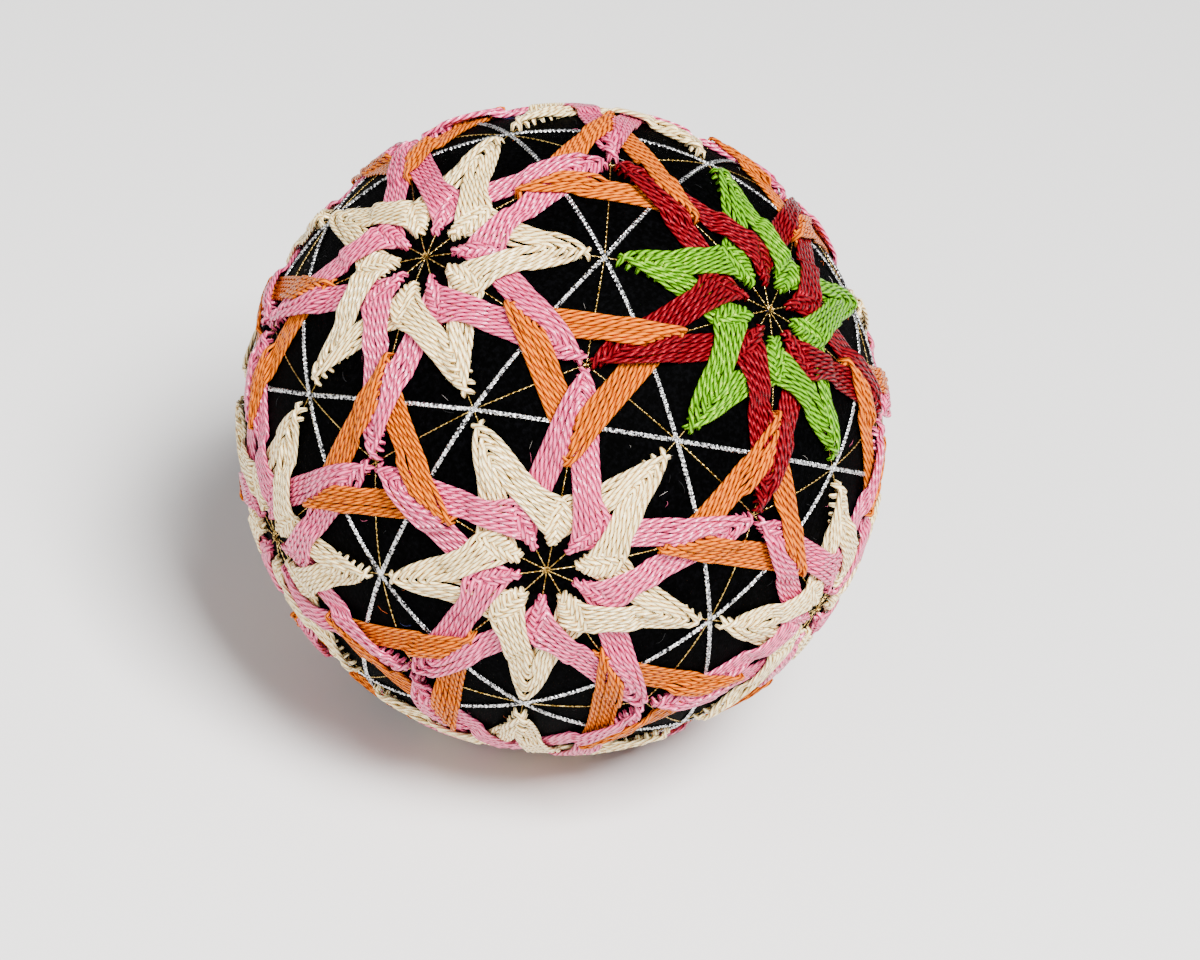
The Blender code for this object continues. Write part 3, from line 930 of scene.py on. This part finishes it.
def makeLint():
    random = np.random.default_rng(lint["seed"])
    shares = np.linspace(0, 1, lint["knots"])
    heights = ball["surface"] + lint["lift"] + lint["arch"] * np.sin(math.pi * shares)
    half = lint["half"]
    tubes, tints = [], []
    for _ in range(lint["count"]):
        way = unit(random.normal(size=3))
        heading = unit(np.cross(way, random.normal(size=3)))
        length = random.uniform(lint["shortest"], lint["longest"]) / ball["surface"]
        bend = random.normal(0, lint["bend"])
        turned = heading + np.outer(shares, np.cross(way, heading) * bend)
        path = unit(way + turned * length * shares[:, None]) * heights[:, None]
        tubes.append(tube(pressed(path, half), unit(path), half, half, lint["sides"], shares))
        tints.append(random.uniform(0, 1))
    piece = meshObject("lint", joinTubes(tubes, tints), lintMaterial)
    dress(piece, [])


makeLint()
print("lint made")

# Stars and triangles

def makeBands():
    total = 0
    seeds = stars["rowSeeds"]
    for number, (name, row) in enumerate(hubTable.items()):
        near = neighbours[name]
        keys = [frozenset((name, near[i], near[(i + 1) % 5])) for i in range(5)]
        for colour, arms, seed in ((row[2], lowerArms, seeds["lower"]), (row[3], upperArms, seeds["upper"])):
            ring = [arms[name, key, side] for key in keys for side in ("left", "right")]
            joined = threadBand(ring, seed + number)
            piece = meshObject(f"{colour}_rows_{name}", joined, cottonMaterials[colour])
            dress(piece, [f"{colour}_star_{name}"])
            total += len(piece.data.polygons)
    for number, (name, sides) in enumerate(sorted(triangleSides.items())):
        joined = threadBand(sides, seeds["triangle"] + number)
        piece = meshObject(f"orange_rows_{name}", joined, cottonMaterials["orange"])
        dress(piece, [f"orange_triangle_{name}"])
        total += len(piece.data.polygons)
    print("band faces", total)


makeBands()

# Floor and light

room = {
    "floor": "#E2E0DE",
    "floorSize": 6.0,          # m
    "air": "#F9FCFF",
    "world": 0.32,
    "lamps": {                 # where in m, size in m and power in W
        "key": ((0.35, -0.50, 1.05), 0.45, 56.0),
        "fill": ((-0.8, -0.7, 0.5), 0.8, 8.0),
    },
}


def makeRoom():
    bpy.ops.mesh.primitive_plane_add(size=room["floorSize"], location=(0, 0, 0))
    floor = bpy.context.object
    floor.name = "floor"
    material, tree, shader = newMaterial("pale paper")
    shader.inputs["Base Color"].default_value = linearColour(room["floor"])
    shader.inputs["Roughness"].default_value = 0.9
    floor.data.materials.append(material)
    world = bpy.data.worlds.new("soft room")
    world.use_nodes = True
    background = world.node_tree.nodes["Background"]
    background.inputs["Color"].default_value = linearColour(room["air"])
    background.inputs["Strength"].default_value = room["world"]
    bpy.context.scene.world = world
    for name, (spot, size, power) in room["lamps"].items():
        data = bpy.data.lights.new(name, "AREA")
        data.energy = power
        data.size = size
        lamp = bpy.data.objects.new(name, data)
        lamp.location = spot
        lamp.rotation_euler = (Vector(centre) - Vector(spot)).to_track_quat("-Z", "Y").to_euler()
        bpy.context.scene.collection.objects.link(lamp)


makeRoom()
print("room made")
